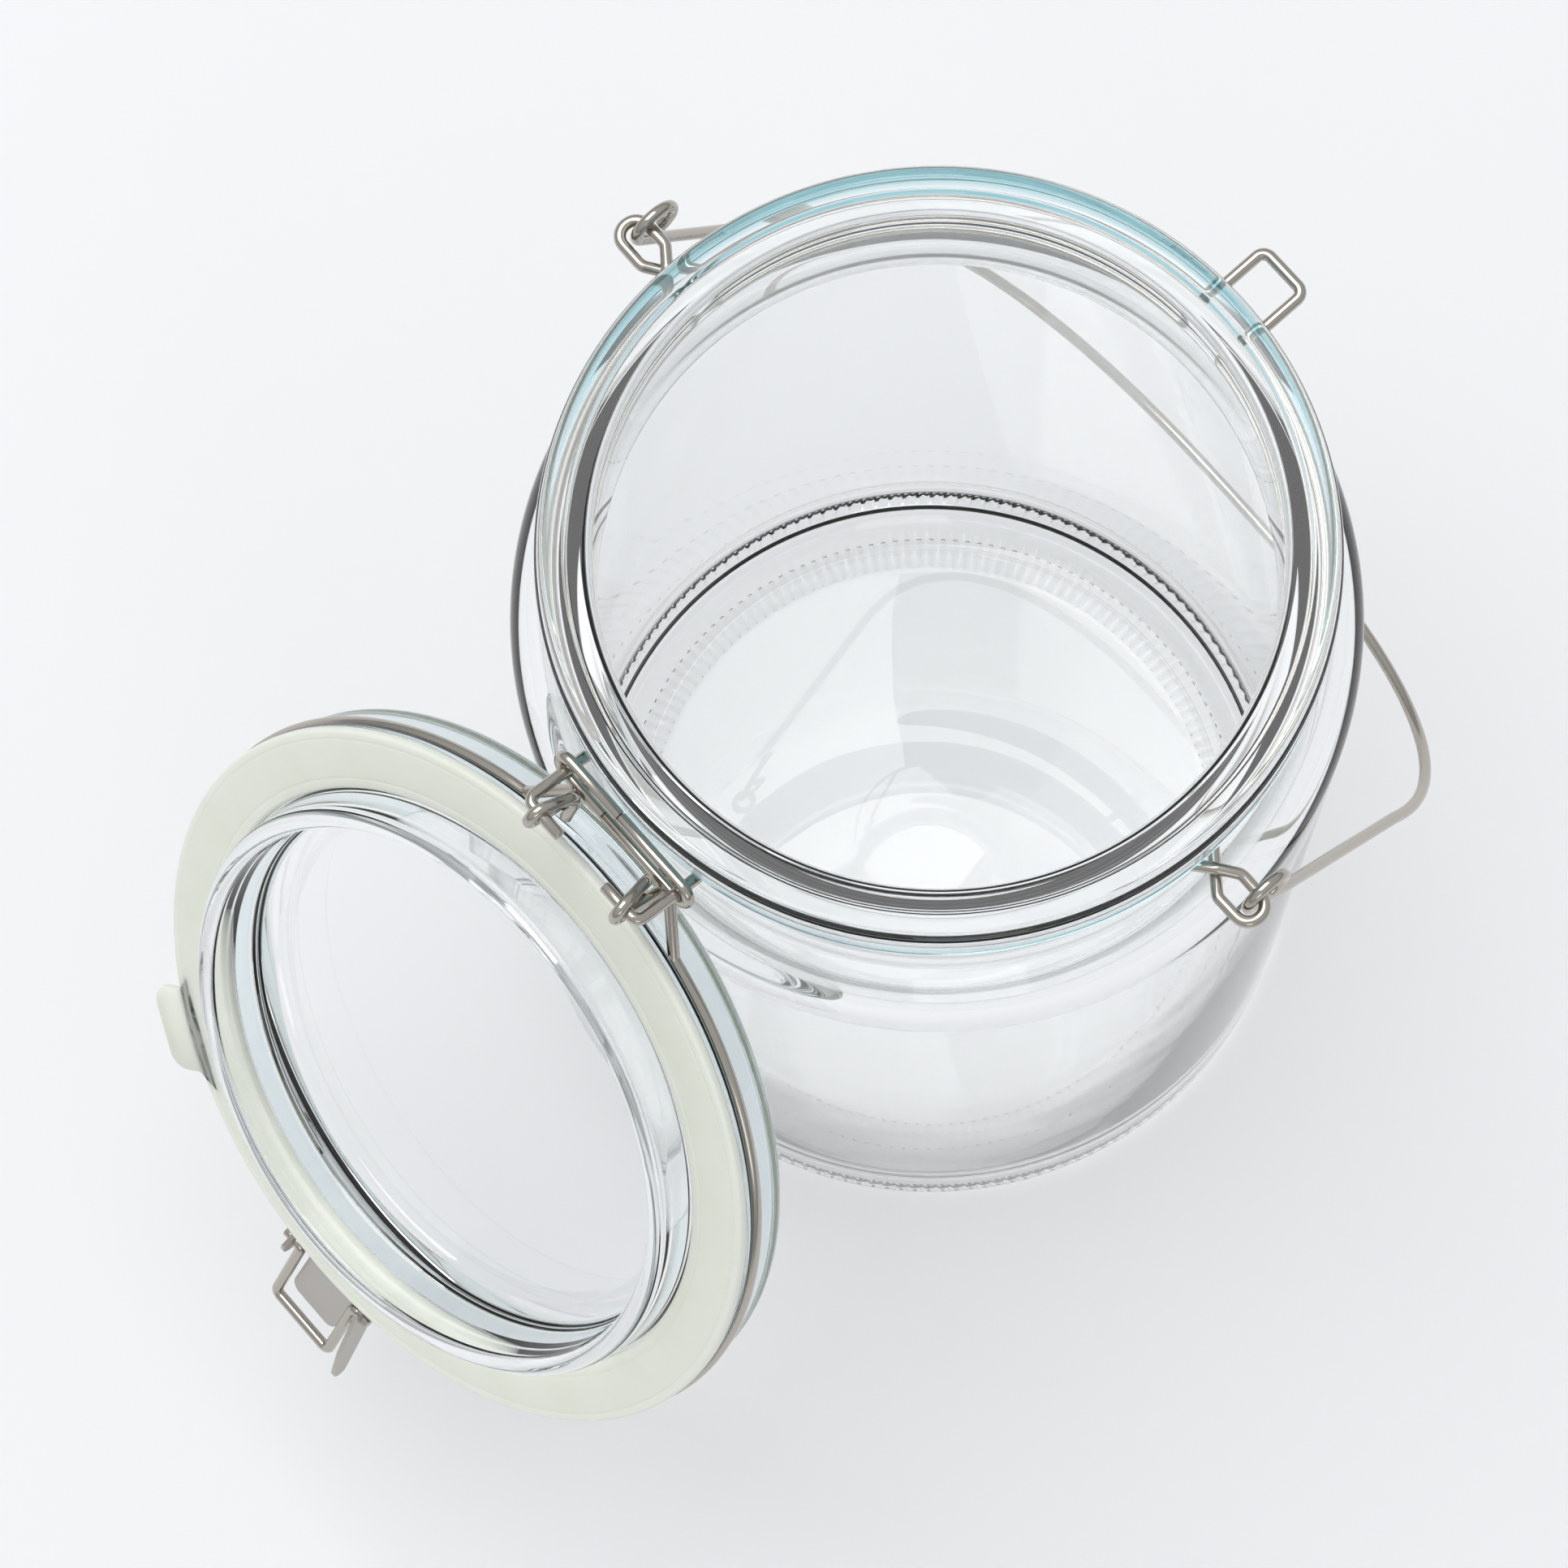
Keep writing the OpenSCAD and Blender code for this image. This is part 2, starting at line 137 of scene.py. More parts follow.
class CanisterLatch(bpy.types.PropertyGroup):
    pivot_out: length("Pivot Reach", "Reach of the lever's pivot past the rim", 4.6 * MM)
    pivot_up: length("Pivot Height", "Height of the lever's pivot above the rim", 7.5 * MM)
    barrel_l: length("Barrel Length", "Length of the rolled barrel", 21.0 * MM)
    sheet: length("Sheet", "Thickness of the lever's sheet", 0.8 * MM)
    tongue_w: length("Tongue Width", "Width of the lever's tongue", 10.6 * MM)
    tongue_l: length("Tongue Length", "Reach of the tongue from the pivot", 16.5 * MM)
    finger_l: length("Finger Tab Length", "Reach of the finger tab from the pivot", 18.0 * MM)
    bail_pin: length("Bail Pin", "From the pivot to the bail's pin", 4.2 * MM)
    bail_drop: length("Bail Pin Drop", "Drop of the bail's pin below the pivot", 1.0 * MM)
    bail_x: length("Bail Half Width", "Half the distance between the bail's legs", 6.65 * MM)
    bail_l: length("Bail Length", "From the bail's pin to its crossbar", 16.165 * MM)
    bail_rest: FloatProperty(name="Bail Angle", description="Angle of the bail above the lever",
                             default=math.radians(5.4), subtype="ANGLE")


class CanisterFinish(bpy.types.PropertyGroup):
    glass: colour("Glass", "Colour of a thin wall of the glass", "FDFEFE")
    # The edge colour is also laid weakly on the lid's outer edge, where it partly stands for a
    # painted reflection of the gasket
    glass_edge: colour("Glass Edge", "Colour of the thickest glass, in the rim bead", "5FB0BF")
    wire: colour("Wire", "Colour of the drawn stainless wire", "BFB9B0")
    sheet: colour("Sheet", "Colour of the stamped stainless sheet", "C2BEB8")
    silicone: colour("Silicone", "Colour of the moulded silicone", "ECEDE3")
    backdrop: colour("Floor", "Colour of the pale floor", "F4F4F5")


# --- Building meshes -----------------------------------------------------------------------

def bent(stations, step=math.radians(10)):
    """Points along a line through stations of (place, bend radius); each bend is an arc."""
    path = [stations[0][0]]
    for (before, _), (here, radius), (after, _) in zip(stations, stations[1:], stations[2:]):
        arriving, leaving = here - before, after - here
        u, v = arriving.normalized(), leaving.normalized()
        turn = u.angle(v)
        if radius == 0 or turn < 0.001:
            path.append(here)
            continue
        half = math.tan(turn / 2)
        trim = min(radius * half, 0.48 * arriving.length, 0.48 * leaving.length)
        radius = trim / half
        inward = (v - u * u.dot(v)).normalized()
        centre = here - u * trim + inward * radius
        pieces = max(2, math.ceil(turn / step))
        for k in range(pieces + 1):
            a = turn * k / pieces
            path.append(centre + radius * (u * math.sin(a) - inward * math.cos(a)))
    path.append(stations[-1][0])
    return path


def corner(r, z, rounding=0.0):
    """A station of an outline, at radius r and height z."""
    return Vector((r, 0, z)), rounding


def groove(r, z, radius, start, end, pieces=14):
    """Stations of a round groove about (r, z), between two angles in degrees."""
    angles = [math.radians(start + (end - start) * i / pieces) for i in range(pieces + 1)]
    return [corner(r + radius * math.cos(a), z + radius * math.sin(a)) for a in angles]


def on_circle(r, angle, z=0.0):
    return Vector((r * math.cos(angle), r * math.sin(angle), z))


def foot(x, r, z):
    """The point on a circle of radius r, on the hinge side, that is x from the YZ plane."""
    return Vector((x, math.sqrt(r * r - x * x), z))


def flip(point, *axes):
    """A point with the named coordinates (0 is x, 1 is y) turned over."""
    return Vector([-c if i in axes else c for i, c in enumerate(point)])


def round_neck(r, z, start, end, step=math.radians(2)):
    """Stations of a wire round the jar's axis between two angles, without its two ends."""
    pieces = max(2, round(abs(end - start) / step))
    return [(on_circle(r, start + (end - start) * i / pieces, z), 0.0) for i in range(1, pieces)]


def angle_of(point):
    return math.atan2(point.y, point.x)


def lathe(bm, outline, around, shape=None, closed=False):
    """Turns an outline of (radius, 0, height) points round the Z axis. shape moves each point."""
    rings = []
    for point in outline:
        if point.x < 1e-6:
            rings.append([bm.verts.new(point)] * around)
            continue
        ring = []
        for i in range(around):
            angle = 2 * math.pi * i / around
            r, z = shape(point.x, point.z, angle) if shape else (point.x, point.z)
            ring.append(bm.verts.new(on_circle(r, angle, z)))
        rings.append(ring)
    loops = list(pairwise(rings)) + ([(rings[-1], rings[0])] if closed else [])
    for low, high in loops:
        for i in range(around):
            j = (i + 1) % around
            quad = list(dict.fromkeys((low[i], low[j], high[j], high[i])))
            if len(quad) > 2:
                bm.faces.new(quad)


def sweep(bm, path, radius, around=20):
    """A wire along a path, cut square at both ends with the burr rounded off.

    Its UV map is in metres: round the wire, and along it.
    """
    burr = radius * 0.16
    first, last = (path[1] - path[0]).normalized(), (path[-1] - path[-2]).normalized()
    stops = [(path[0], radius - burr), (path[0] + first * burr, radius)]
    stops += [(point, radius) for point in path[1:-1]]
    stops += [(path[-1] - last * burr, radius), (path[-1], radius - burr)]
    uv_layer = bm.loops.layers.uv.verify()
    tangents = []
    for i in range(len(stops)):
        low, high = stops[max(i - 1, 0)][0], stops[min(i + 1, len(stops) - 1)][0]
        tangents.append((high - low).normalized())
    side = tangents[0].orthogonal().normalized()
    rings, along, run = [], [], 0.0
    for i, (centre, r) in enumerate(stops):
        side = (side - tangents[i] * side.dot(tangents[i])).normalized()
        other = tangents[i].cross(side)
        angles = [2 * math.pi * k / around for k in range(around)]
        rings.append([bm.verts.new(centre + r * (side * math.cos(a) + other * math.sin(a)))
                      for a in angles])
        run += (centre - stops[i - 1][0]).length if i else 0.0
        along.append(run)
    for i in range(len(rings) - 1):
        for k in range(around):
            j = (k + 1) % around
            face = bm.faces.new((rings[i][k], rings[i][j], rings[i + 1][j], rings[i + 1][k]))
            places = ((k, i), (k + 1, i), (k + 1, i + 1), (k, i + 1))
            for loop, (turn, row) in zip(face.loops, places):
                loop[uv_layer].uv = (2 * math.pi * radius * turn / around, along[row])
    bm.faces.new(reversed(rings[0]))
    bm.faces.new(rings[-1])


def prism(bm, outline, x0, x1, place=Matrix.Identity(4)):
    """A plate between x0 and x1 with an outline of (out, up) points; out runs along -Y."""
    sides = [[bm.verts.new(place @ Vector((x, -out, up))) for out, up in outline]
             for x in (x0, x1)]
    bm.faces.new(sides[0])
    bm.faces.new(reversed(sides[1]))
    for i in range(len(outline)):
        j = (i + 1) % len(outline)
        bm.faces.new((sides[0][i], sides[1][i], sides[1][j], sides[0][j]))


def arc2(x, y, r, start, end, pieces=12):
    """Points of an arc about (x, y), between two angles in degrees."""
    angles = [math.radians(start + (end - start) * i / pieces) for i in range(pieces + 1)]
    return [(x + r * math.cos(a), y + r * math.sin(a)) for a in angles]


def mark_depth_and_painted_reflection(bm, depth_and_painted_reflection):
    """Stores how strongly the glass is tinted at each vertex, from its radius and height: how deep
    the glass is, and on the lid partly a painted reflection of the gasket.
    """
    layer = bm.verts.layers.float.new(DEPTH_AND_PAINTED_REFLECTION)
    for vert in bm.verts:
        vert[layer] = depth_and_painted_reflection(math.hypot(vert.co.x, vert.co.y), vert.co.z)


def smooth_step(low, high, value):
    """0 below low, 1 above high, and a soft slope between them."""
    t = min(1.0, max(0.0, (value - low) / (high - low)))
    return t * t * (3 - 2 * t)


def finish_piece(bm, name, node, body, material, turn=None, sharp=40.0, bevel=0.0):
    """Makes a piece from a mesh, hides the CAD node that it stands for, and hangs it on the body
    that it rides on.
    """
    if turn is not None:
        bmesh.ops.transform(bm, matrix=turn, verts=bm.verts)
    bmesh.ops.recalc_face_normals(bm, faces=bm.faces)
    mesh = bpy.data.meshes.new(name)
    bm.to_mesh(mesh)
    bm.free()
    mesh.materials.append(material)
    mesh.shade_smooth()
    mesh.set_sharp_from_angle(angle=math.radians(sharp))
    piece = bpy.data.objects.new(name, mesh)
    bpy.context.scene.collection.objects.link(piece)
    if bevel:
        edge = piece.modifiers.new("Rounded edges", "BEVEL")
        edge.width, edge.segments, edge.limit_method = bevel, 2, "ANGLE"
        edge.angle_limit = math.radians(50)
        edge.harden_normals = True
    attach(piece, body)
    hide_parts(node)
    return piece


# --- Materials -----------------------------------------------------------------------------

def new_material(name):
    material = bpy.data.materials.new(name)
    material.use_nodes = True
    material.node_tree.nodes.clear()
    return material


def add(tree, kind, values=(), links=(), **settings):
    """Adds a node with its settings, its inputs' values and the sockets that feed them."""
    node = tree.nodes.new(kind)
    for name, value in settings.items():
        setattr(node, name, value)
    for name, value in dict(values).items():
        node.inputs[name].default_value = value
    for name, socket in dict(links).items():
        tree.links.new(socket, node.inputs[name])
    return node


def rgba(values):
    return (*values, 1.0)


def pressed_soda_lime_glass(finish):
    """Soda-lime glass, pressed and blown in a mould: clear in a wall, blue-green in the thick rim.

    It has the long soft ripples that a mould leaves. Lamps reach what stands behind it.
    """
    material = new_material("Pressed soda-lime glass")
    tree = material.node_tree
    place = add(tree, "ShaderNodeTexCoord")
    # Ripples about 30 mm long
    ripple = add(tree, "ShaderNodeTexNoise", {"Scale": 33.0, "Detail": 1.0},
                 {"Vector": place.outputs["Object"]})
    bump = add(tree, "ShaderNodeBump", {"Strength": 0.10, "Distance": 0.3 * MM},
               {"Height": ripple.outputs["Fac"]})
    # Painted reflection: the tint follows the glass's depth, and on the lid's outer edge it is
    # partly a painted reflection of the gasket below it
    depth_and_painted_reflection = add(tree, "ShaderNodeAttribute", attribute_name=DEPTH_AND_PAINTED_REFLECTION)
    tint = add(tree, "ShaderNodeMix", {"A": rgba(finish.glass), "B": rgba(finish.glass_edge)},
               {"Factor": depth_and_painted_reflection.outputs["Fac"]}, data_type="RGBA")
    glass = add(tree, "ShaderNodeBsdfPrincipled",
                {"Roughness": 0.0, "IOR": 1.52, "Transmission Weight": 1.0},
                {"Base Color": tint.outputs["Result"], "Normal": bump.outputs["Normal"]})
    clear = add(tree, "ShaderNodeBsdfTransparent", {"Color": (0.80, 0.802, 0.802, 1)})
    path = add(tree, "ShaderNodeLightPath")
    surface = add(tree, "ShaderNodeMixShader", {},
                  {0: path.outputs["Is Shadow Ray"], 1: glass.outputs[0], 2: clear.outputs[0]})
    add(tree, "ShaderNodeOutputMaterial", {}, {"Surface": surface.outputs[0]})
    return material


def drawn_stainless_wire(finish):
    """Stainless wire, drawn through a die: a soft silver with fine lines along its length."""
    material = new_material("Drawn stainless wire")
    tree = material.node_tree
    place = add(tree, "ShaderNodeTexCoord")
    # Die lines 0.15 mm apart and 12 mm long
    scaled = add(tree, "ShaderNodeVectorMath", {1: (6600.0, 80.0, 1.0)},
                 {0: place.outputs["UV"]}, operation="MULTIPLY")
    lines = add(tree, "ShaderNodeTexNoise", {"Scale": 1.0, "Detail": 3.0, "Roughness": 0.6},
                {"Vector": scaled.outputs[0]})
    # Patches about 4 mm long where handling has dulled the wire
    patches = add(tree, "ShaderNodeTexNoise", {"Scale": 250.0, "Detail": 2.0},
                  {"Vector": place.outputs["Object"]})
    rough = add(tree, "ShaderNodeMapRange", {"To Min": 0.10, "To Max": 0.25},
                {"Value": patches.outputs["Fac"]})
    dark = [c * 0.80 for c in finish.wire]
    tone = add(tree, "ShaderNodeMix", {"A": rgba(dark), "B": rgba(finish.wire)},
               {"Factor": lines.outputs["Fac"]}, data_type="RGBA")
    bump = add(tree, "ShaderNodeBump", {"Strength": 0.25, "Distance": 0.02 * MM},
               {"Height": lines.outputs["Fac"]})
    steel = add(tree, "ShaderNodeBsdfPrincipled", {"Metallic": 1.0},
                {"Base Color": tone.outputs["Result"], "Roughness": rough.outputs[0],
                 "Normal": bump.outputs["Normal"]})
    add(tree, "ShaderNodeOutputMaterial", {}, {"Surface": steel.outputs[0]})
    return material


def stamped_stainless_sheet(finish):
    """Stainless sheet, stamped and tumbled: a flat satin grey with a faint rolling grain."""
    material = new_material("Stamped stainless sheet")
    tree = material.node_tree
    place = add(tree, "ShaderNodeTexCoord")
    # Rolling grain 0.1 mm wide and 3 mm long, across the lever
    scaled = add(tree, "ShaderNodeVectorMath", {1: (300.0, 9000.0, 9000.0)},
                 {0: place.outputs["Object"]}, operation="MULTIPLY")
    grain = add(tree, "ShaderNodeTexNoise", {"Scale": 1.0, "Detail": 2.0},
                {"Vector": scaled.outputs[0]})
    rough = add(tree, "ShaderNodeMapRange", {"To Min": 0.28, "To Max": 0.42},
                {"Value": grain.outputs["Fac"]})
    dark = [c * 0.86 for c in finish.sheet]
    tone = add(tree, "ShaderNodeMix", {"A": rgba(dark), "B": rgba(finish.sheet)},
               {"Factor": grain.outputs["Fac"]}, data_type="RGBA")
    bump = add(tree, "ShaderNodeBump", {"Strength": 0.2, "Distance": 0.02 * MM},
               {"Height": grain.outputs["Fac"]})
    steel = add(tree, "ShaderNodeBsdfPrincipled", {"Metallic": 1.0},
                {"Base Color": tone.outputs["Result"], "Roughness": rough.outputs[0],
                 "Normal": bump.outputs["Normal"]})
    add(tree, "ShaderNodeOutputMaterial", {}, {"Surface": steel.outputs[0]})
    return material


def moulded_silicone(finish):
    """Natural silicone rubber, moulded: milky, a little green, soft sheen, light glows in it."""
    material = new_material("Moulded silicone")
    tree = material.node_tree
    place = add(tree, "ShaderNodeTexCoord")
    # Cloudiness about 9 mm across, and a mould texture of 0.3 mm
    cloud = add(tree, "ShaderNodeTexNoise", {"Scale": 110.0, "Detail": 2.0},
                {"Vector": place.outputs["Object"]})
    deep = [c * f for c, f in zip(finish.silicone, (0.90, 0.94, 0.88))]
    tone = add(tree, "ShaderNodeMix", {"A": rgba(deep), "B": rgba(finish.silicone)},
               {"Factor": cloud.outputs["Fac"]}, data_type="RGBA")
    texture = add(tree, "ShaderNodeTexNoise", {"Scale": 3300.0, "Detail": 2.0},
                  {"Vector": place.outputs["Object"]})
    rough = add(tree, "ShaderNodeMapRange", {"To Min": 0.34, "To Max": 0.5},
                {"Value": texture.outputs["Fac"]})
    bump = add(tree, "ShaderNodeBump", {"Strength": 0.15, "Distance": 0.03 * MM},
               {"Height": texture.outputs["Fac"]})
    rubber = add(tree, "ShaderNodeBsdfPrincipled",
                 {"IOR": 1.41, "Subsurface Weight": 0.55, "Subsurface Scale": 4 * MM,
                  "Subsurface Radius": (1.0, 1.0, 0.8)},
                 {"Base Color": tone.outputs["Result"], "Roughness": rough.outputs[0],
                  "Normal": bump.outputs["Normal"]})
    add(tree, "ShaderNodeOutputMaterial", {}, {"Surface": rubber.outputs[0]})
    return material


def matt_floor(finish):
    """A matt painted board: pale, with the faintest unevenness of tone."""
    material = new_material("Matt painted board")
    tree = material.node_tree
    place = add(tree, "ShaderNodeTexCoord")
    cloud = add(tree, "ShaderNodeTexNoise", {"Scale": 3.0, "Detail": 2.0},
                {"Vector": place.outputs["Object"]})
    dull = [c * 0.985 for c in finish.backdrop]
    tone = add(tree, "ShaderNodeMix", {"A": rgba(dull), "B": rgba(finish.backdrop)},
               {"Factor": cloud.outputs["Fac"]}, data_type="RGBA")
    board = add(tree, "ShaderNodeBsdfPrincipled", {"Roughness": 0.9},
                {"Base Color": tone.outputs["Result"]})
    add(tree, "ShaderNodeOutputMaterial", {}, {"Surface": board.outputs[0]})
    return material


def get_material(make, name):
    """The material of that name, made the first time that a piece asks for it."""
    return bpy.data.materials.get(name) or make(bpy.context.scene.canister_finish)


def glass_material():
    return get_material(pressed_soda_lime_glass, "Pressed soda-lime glass")


def wire_material():
    return get_material(drawn_stainless_wire, "Drawn stainless wire")


# --- Sizes that several pieces share -------------------------------------------------------

def levels(glass, wire):
    """Heights and radii of the shut jar that its pieces share."""
    class Levels:
        widest = glass.height - glass.drop
        neck_wire_r = glass.neck_r + 0.1 * MM
        neck_wire = glass.height - glass.rim_h - 2 * wire.wire_r - 0.1 * MM
        seat = glass.height + 0.05 * MM
        flange = seat + glass.gasket_t
        flange_t = 1.3 * MM
        lid_wire_r = glass.rim_r - 0.5 * MM
        lid_wire = flange + flange_t + wire.wire_r
        lid_top = flange + glass.lid_h
        loop_r = 2 * wire.wire_r + 0.1 * MM
    return Levels


def at_pivot(glass, latch):
    """Places the latch's own frame, with -Y out and +Z up, at the lever's pivot."""
    pivot = Vector((0, -glass.rim_r - latch.pivot_out, glass.height + latch.pivot_up))
    return OPEN_LID @ Matrix.Translation(pivot)


# --- Operators -----------------------------------------------------------------------------

class CANISTER_OT_jar(bpy.types.Operator):
    """Builds the glass jar, with its rim bead, wire groove, push-up and ring of ribs"""
    bl_idname = "canister.jar"
    bl_label = "Jar"

    def execute(self, context):
        g, w = context.scene.canister_glass, context.scene.canister_wire
        lv = levels(g, w)
        rim_foot = g.height - g.rim_h
        # Where the shoulder's slope, 52 degrees from upright, would meet the upright body
        slope = math.tan(math.radians(26)) * 20 * MM
        inner_r = g.body_r - g.wall
        mark_r = g.heel_r - 50 * MM
        stations = [corner(0, g.punt), corner(mark_r, g.punt * 0.8, 0.4 * MM),
                    corner(mark_r + 0.5 * MM, g.punt * 0.8 - 0.12 * MM, 0.4 * MM),
                    corner(g.heel_r - 14 * MM, 0, 40 * MM)]
        stations += [corner(g.rib_r + t * MM, 0) for t in (-3, -2.7, 2.7, 3)]
        stations += [corner(g.heel_r, 0, 7 * MM),
                     corner(g.body_r, lv.widest + slope, 18 * MM),
                     corner(g.neck_r, lv.widest + slope + 6.33 * MM, 3 * MM)]
        stations += groove(lv.neck_wire_r, lv.neck_wire, w.wire_r + 0.05 * MM, 264, 96)
        stations += [corner(g.neck_r, rim_foot, 0.5 * MM), corner(g.rim_r, rim_foot, 2.4 * MM),
                     corner(g.rim_r, g.height, 3.2 * MM),
                     corner(g.mouth_r + 4.4 * MM, g.height, 0.7 * MM),
                     corner(g.mouth_r + 3.8 * MM, g.height - 0.5 * MM, 0.7 * MM),
                     corner(g.mouth_r, g.height - 0.5 * MM, 2.2 * MM),
                     corner(g.mouth_r, lv.widest + slope + 9 * MM, 6 * MM),
                     corner(inner_r, lv.widest + slope - 1.5 * MM, 14 * MM),
                     corner(g.heel_r - g.wall, g.floor_t, 9 * MM),
                     corner(0, g.floor_t + g.punt)]
        outline = bent(stations, math.radians(6))

        def moulded(r, z, a):
            """Waves in the wall, and the ribs where the jar stands."""
            wave = g.waviness * (math.sin(2 * a + 60 * z) + 0.6 * math.sin(5 * a - 110 * z))
            on_rib = abs(r - g.rib_r) < 2.8 * MM and z < 0.5 * MM
            lift = g.rib_h * (0.5 - 0.5 * math.cos(g.ribs * a)) if on_rib else 0.0
            inside = r < inner_r and 20 * MM < z < lv.widest
            return r + (wave if inside else 0.0), z + lift

        bm = bmesh.new()
        lathe(bm, outline, 4 * max(g.ribs, 64), moulded)
        mark_depth_and_painted_reflection(bm, lambda r, z: smooth_step(g.rim_r - 3 * MM, g.rim_r - 0.8 * MM, r)
                   * smooth_step(rim_foot - 1 * MM, rim_foot, z)
                   * smooth_step(g.height - 1.5 * MM, g.height - 4 * MM, z))
        finish_piece(bm, "jar_glass", "jar_body", "jar", glass_material())
        return {"FINISHED"}


class CANISTER_OT_lid(bpy.types.Operator):
    """Builds the pressed glass lid, with its plug collar, wire groove and dished window"""
    bl_idname = "canister.lid"
    bl_label = "Lid"

    def execute(self, context):
        g, w = context.scene.canister_glass, context.scene.canister_wire
        lv = levels(g, w)
        side_r = g.rim_r - 0.9 * MM
        recess_r = side_r - 7 * MM
        top = lv.lid_top - 3 * MM
        bore = g.collar_r - g.collar_t
        tip = lv.seat - g.collar_h
        stations = [corner(0, top - g.window), corner(bore - 4 * MM, top - g.window, 1 * MM),
                    corner(bore, top - g.window - 1.2 * MM, 2.2 * MM),
                    corner(bore + 0.3 * MM, tip, 1.5 * MM), corner(g.collar_r, tip, 1.7 * MM),
                    corner(g.collar_r + 0.4 * MM, lv.seat),
                    corner(g.collar_r + 0.7 * MM, lv.flange, 0.4 * MM),
                    corner(g.rim_r, lv.flange, 0.55 * MM),
                    corner(g.rim_r, lv.flange + lv.flange_t, 0.55 * MM),
                    corner(side_r - 0.4 * MM, lv.flange + lv.flange_t + 0.02 * MM, 0.1 * MM)]
        stations += groove(lv.lid_wire_r, lv.lid_wire, w.wire_r + 0.05 * MM, 230, 115, 10)
        stations += [corner(side_r, lv.lid_wire + w.wire_r + 0.1 * MM, 0.5 * MM),
                     corner(side_r, lv.lid_top, 2.4 * MM),
                     corner(recess_r, lv.lid_top, 1.6 * MM),
                     corner(recess_r - 1 * MM, top, 1.8 * MM),
                     corner(0, top + 0.3 * MM)]

        def pressed(r, z, a):
            wave = 0.6 * g.waviness * (math.sin(3 * a) + 0.5 * math.sin(7 * a + 1))
            return (r + wave if r < side_r - 4 * MM and r > 30 * MM else r), z

        bm = bmesh.new()
        lathe(bm, bent(stations, math.radians(6)), 384, pressed)
        # Painted reflection: the weaker blue-green on the lid's outer edge is partly the thick
        # glass's own colour and partly a painted reflection of the gasket below it
        mark_depth_and_painted_reflection(bm, lambda r, z: 0.35 * smooth_step(side_r - 2 * MM, side_r, r))
        finish_piece(bm, "lid_glass_piece", "lid_glass", "lid", glass_material(), OPEN_LID)
        return {"FINISHED"}


class CANISTER_OT_gasket(bpy.types.Operator):
    """Builds the silicone gasket and its pull tab"""
    bl_idname = "canister.gasket"
    bl_label = "Gasket"

    def execute(self, context):
        g, w = context.scene.canister_glass, context.scene.canister_wire
        lv = levels(g, w)
        inner = g.collar_r + 0.9 * MM
        outer = g.rim_r + 0.1 * MM
        low, high = lv.seat + 0.02 * MM, lv.flange - 0.02 * MM
        edge = 0.7 * MM
        middle = Vector(((inner + outer) / 2, 0, low))
        # Two shallow sealing ridges run round the side that meets the jar
        ridge = ((-0.3, 0.0), (0.0, 0.1), (0.3, 0.0))
        ridges = [corner(inner + (place + t) * MM, low + h * MM, 0.25 * MM)
                  for place in (1.9, 8.5) for t, h in ridge]
        stations = [(middle, 0.0)] + [s for s in ridges if s[0].x > middle.x]
        stations += [corner(outer, low, edge), corner(outer, high, edge),
                     corner(inner, high, 0.3 * MM), corner(inner, low, edge)]
        stations += [s for s in ridges if s[0].x < middle.x] + [(middle, 0.0)]
        bm = bmesh.new()
        lathe(bm, bent(stations, math.radians(15))[:-1], 256, closed=True)
        self.tab(bm, g, low, high, outer)
        silicone = get_material(moulded_silicone, "Moulded silicone")
        finish_piece(bm, "gasket_piece", "gasket", "lid", silicone, OPEN_LID, sharp=60)
        return {"FINISHED"}

    def tab(self, bm, g, low, high, outer):
        """A tongue with rounded corners that grows out of the ring."""
        half, reach, start = g.tab_w / 2, outer + g.tab_l, outer - 3 * MM
        root = outer + 0.2 * MM
        plan = bent([(Vector((start, -half - 3 * MM, 0)), 0.0),
                     (Vector((root, -half, 0)), 1.5 * MM),
                     (Vector((reach, -half, 0)), 4 * MM), (Vector((reach, half, 0)), 4 * MM),
                     (Vector((root, half, 0)), 1.5 * MM),
                     (Vector((start, half + 3 * MM, 0)), 0.0)])
        turn = Matrix.Rotation(math.radians(-47), 4, "Z")
        inset = 0.45 * MM
        middle = Vector(((start + outer) / 2, 0, 0))
        rings = []
        for z, shrink in ((low, inset), (low + inset, 0), (high - inset, 0), (high, inset)):
            rings.append([bm.verts.new(turn @ (p - (p - middle).normalized() * shrink + UP * z))
                          for p in plan])
        for under, over in pairwise(rings):
            for i in range(len(plan)):
                j = (i + 1) % len(plan)
                bm.faces.new((under[i], under[j], over[j], over[i]))
        bm.faces.new(reversed(rings[0]))
        bm.faces.new(rings[-1])


